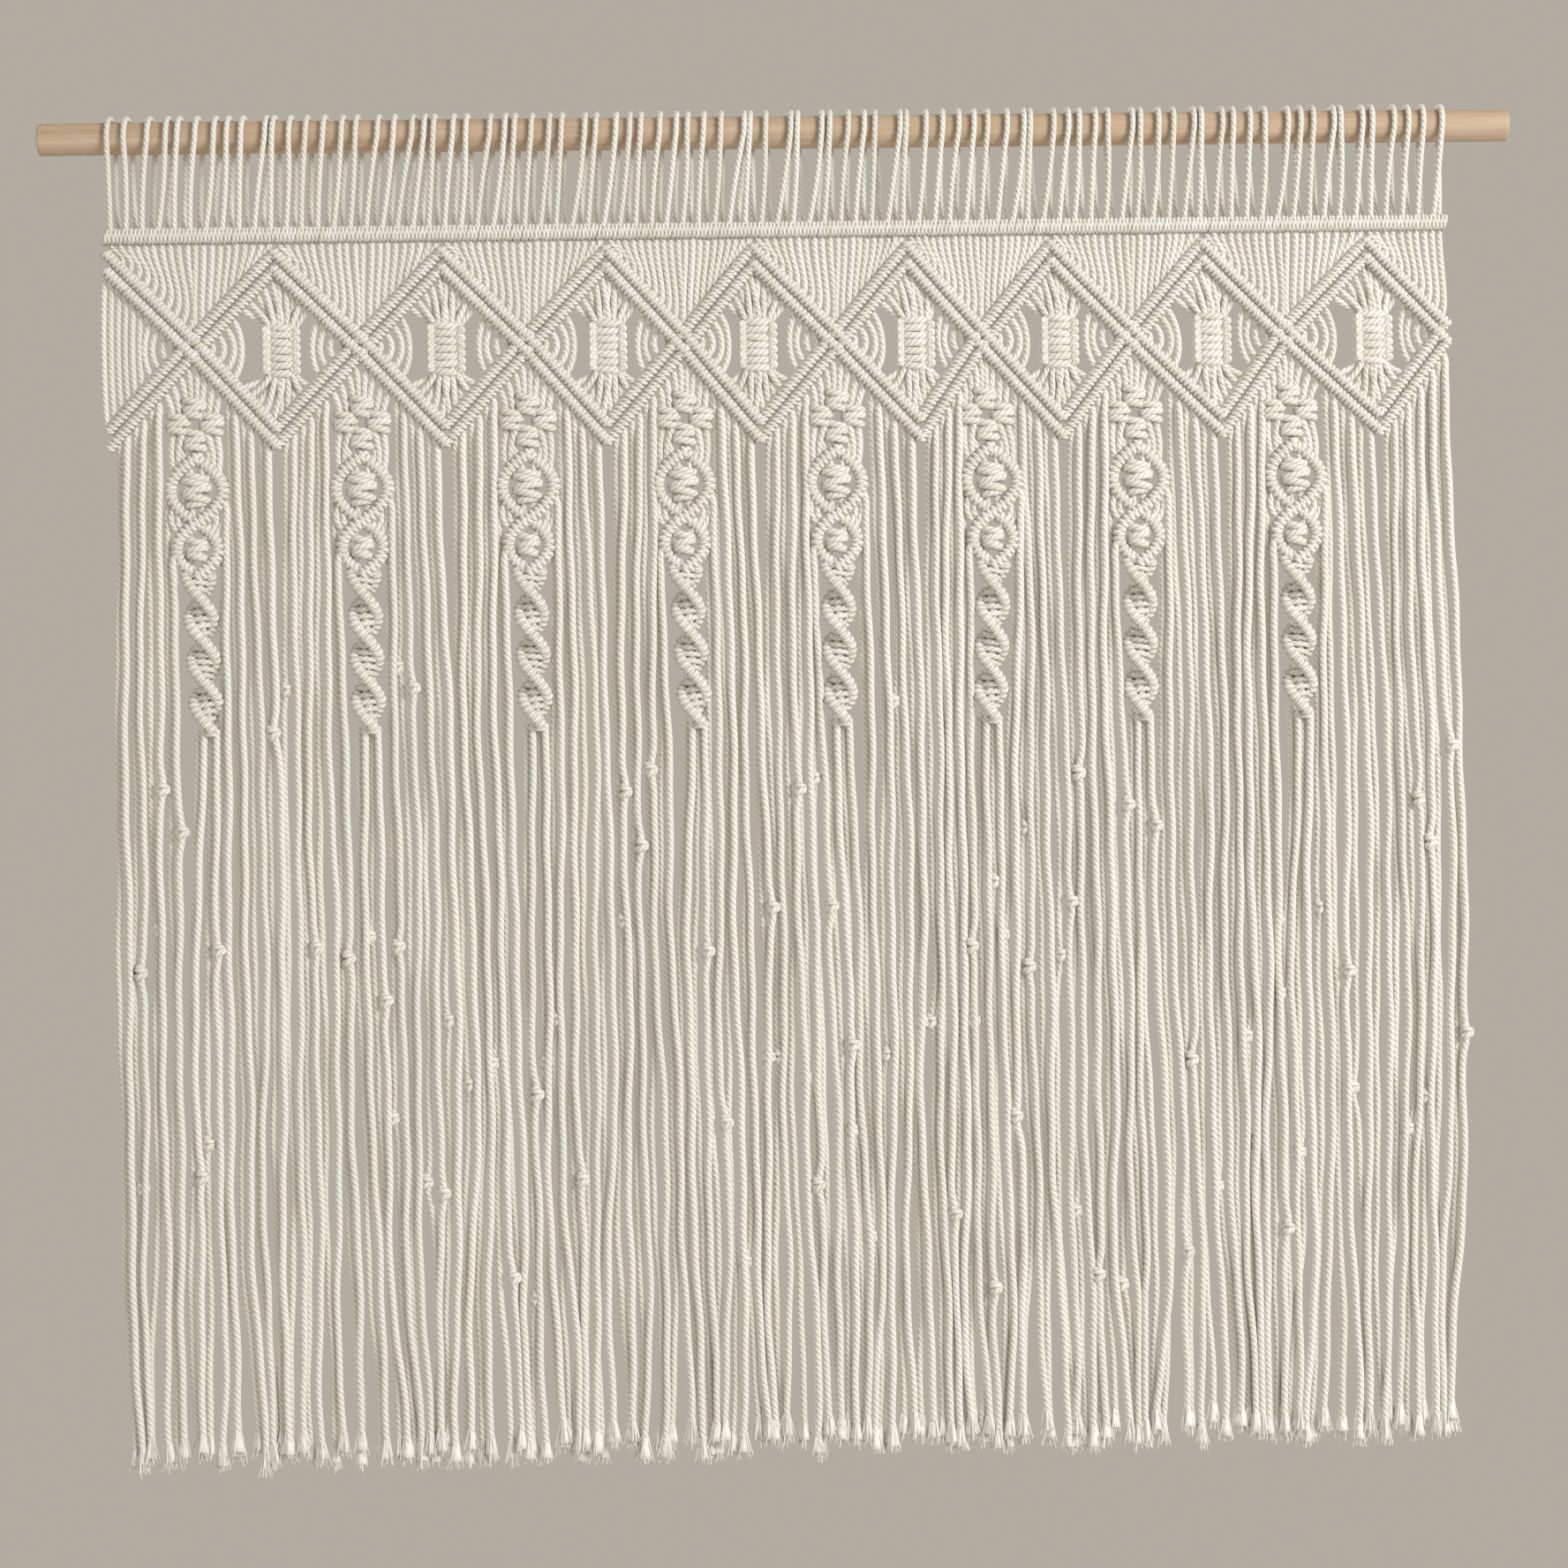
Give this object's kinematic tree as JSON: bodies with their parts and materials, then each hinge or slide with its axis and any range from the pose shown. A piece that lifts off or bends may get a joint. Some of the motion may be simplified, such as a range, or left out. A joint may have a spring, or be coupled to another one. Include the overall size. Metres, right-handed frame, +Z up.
{
  "type": "macrame curtain on a wooden rod",
  "caption": "Knotted cotton curtain looped over a plain wooden rod, with a row of open diamonds, hanging knotted columns and a long loose fringe.",
  "frame": {"origin": "middle of the rod's axis", "axes": "+X along the rod to the viewer's right, -Y towards the viewer, +Z up; the curtain hangs below the rod in the XZ plane"},
  "size_m": [1.098, 0.0359, 1.0094],
  "materials": {
    "rod_wood": "bare pale wood, lightly sanded",
    "cotton_cord": "natural twisted cotton, matt"
  },
  "bodies": {
    "root": {"rod": "rod_wood", "heading": "cotton_cord", "lattice": "cotton_cord", "fringe": "cotton_cord", "pendant_1": "cotton_cord", "pendant_2": "cotton_cord", "pendant_3": "cotton_cord", "pendant_4": "cotton_cord", "pendant_5": "cotton_cord", "pendant_6": "cotton_cord", "pendant_7": "cotton_cord", "pendant_8": "cotton_cord"}
  },
  "joints": []
}
